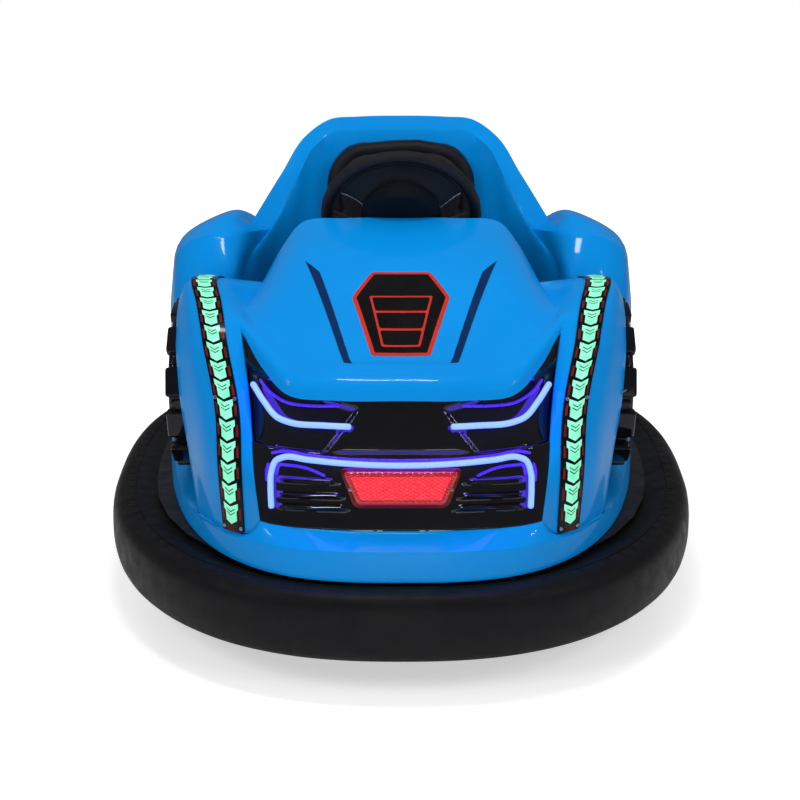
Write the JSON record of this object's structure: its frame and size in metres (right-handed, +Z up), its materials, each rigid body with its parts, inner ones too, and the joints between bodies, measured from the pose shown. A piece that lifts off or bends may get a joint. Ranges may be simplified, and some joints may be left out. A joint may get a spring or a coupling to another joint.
{
  "type": "bumper car",
  "caption": "Battery bumper car for one rider: inflatable bumper ring, blue moulded shell with light strips, open cockpit, steered drive wheel under the nose and free rear wheels.",
  "frame": {"origin": "on the floor, under the centre of the object's box", "axes": "+Z up, the nose points to -Y, and the car's left side is +X"},
  "size_m": [1.1991, 1.438, 0.866],
  "materials": {
    "blue_shell": "gloss",
    "gloss_black": "gloss",
    "light_strip": "satin",
    "light_tube": "gloss",
    "red_lens": "gloss",
    "bumper_rubber": "satin",
    "black_steel": "satin",
    "satin_black": "satin",
    "black_vinyl": "satin",
    "wheel_rubber": "matte",
    "cast_metal": "satin",
    "wheel_grip": "satin"
  },
  "bodies": {
    "chassis": {"nose_skirt": "blue_shell", "side_skirt_left": "blue_shell", "side_skirt_right": "blue_shell", "tail_skirt": "blue_shell", "nose_mask": "gloss_black", "bonnet": "blue_shell", "front_fender_left": "blue_shell", "front_fender_right": "blue_shell", "seat_shell": "blue_shell", "rear_fender_left": "blue_shell", "rear_fender_right": "blue_shell", "tail_panel": "gloss_black", "light_strip_left": "light_strip", "light_strip_right": "light_strip", "neon_tube_upper_left": "light_tube", "neon_tube_upper_right": "light_tube", "neon_tube_lower": "light_tube", "lamp_housing": "gloss_black", "lamp_lens": "red_lens", "bumper_tyre": "bumper_rubber", "chassis_frame": "black_steel", "steering_tower": "black_steel", "body_flange": "satin_black", "cockpit_tub": "satin_black", "seat_base": "satin_black", "battery_pack": "satin_black", "accelerator_pedal": "black_steel", "side_entry_left": "blue_shell", "side_entry_right": "blue_shell", "seat_cushion": "black_vinyl", "back_cushion": "black_vinyl", "rear_axle": "black_steel", "steering_column": "black_steel", "dash_panel": "satin_black", "mock_wheel_front_left": "gloss_black", "mock_wheel_front_right": "gloss_black", "mock_wheel_rear_left": "gloss_black", "mock_wheel_rear_right": "gloss_black"},
    "steering_wheel": {"steering_wheel": "wheel_grip"},
    "fork": {"steering_fork": "black_steel"},
    "drive_wheel": {"drive_tyre": "wheel_rubber", "drive_motor_hub": "cast_metal"},
    "rear_wheel_left": {"rear_tyre_left": "wheel_rubber", "rear_hub_left": "cast_metal"},
    "rear_wheel_right": {"rear_tyre_right": "wheel_rubber", "rear_hub_right": "cast_metal"}
  },
  "joints": [
    {"name": "steering_wheel_turn", "type": "hinge", "parent": "chassis", "child": "steering_wheel", "pos_m": [0, 0.04, 0.703], "axis": [0, 0.829, 0.5592], "range_deg": [-180, 180]},
    {"name": "fork_steer", "type": "hinge", "parent": "chassis", "child": "fork", "pos_m": [0, -0.33, 0.232], "axis": [0, 0, 1], "range_deg": [-180, 180]},
    {"name": "drive_wheel_spin", "type": "hinge", "parent": "fork", "child": "drive_wheel", "pos_m": [0, -0.33, 0.11], "axis": [1, 0, 0], "continuous": true},
    {"name": "rear_wheel_left_spin", "type": "hinge", "parent": "chassis", "child": "rear_wheel_left", "pos_m": [0.3, 0.345, 0.08], "axis": [1, 0, 0], "continuous": true},
    {"name": "rear_wheel_right_spin", "type": "hinge", "parent": "chassis", "child": "rear_wheel_right", "pos_m": [-0.3, 0.345, 0.08], "axis": [1, 0, 0], "continuous": true}
  ],
  "couplings": [
    {"joint": "fork_steer", "follows": "steering_wheel_turn", "ratio": 1}
  ]
}
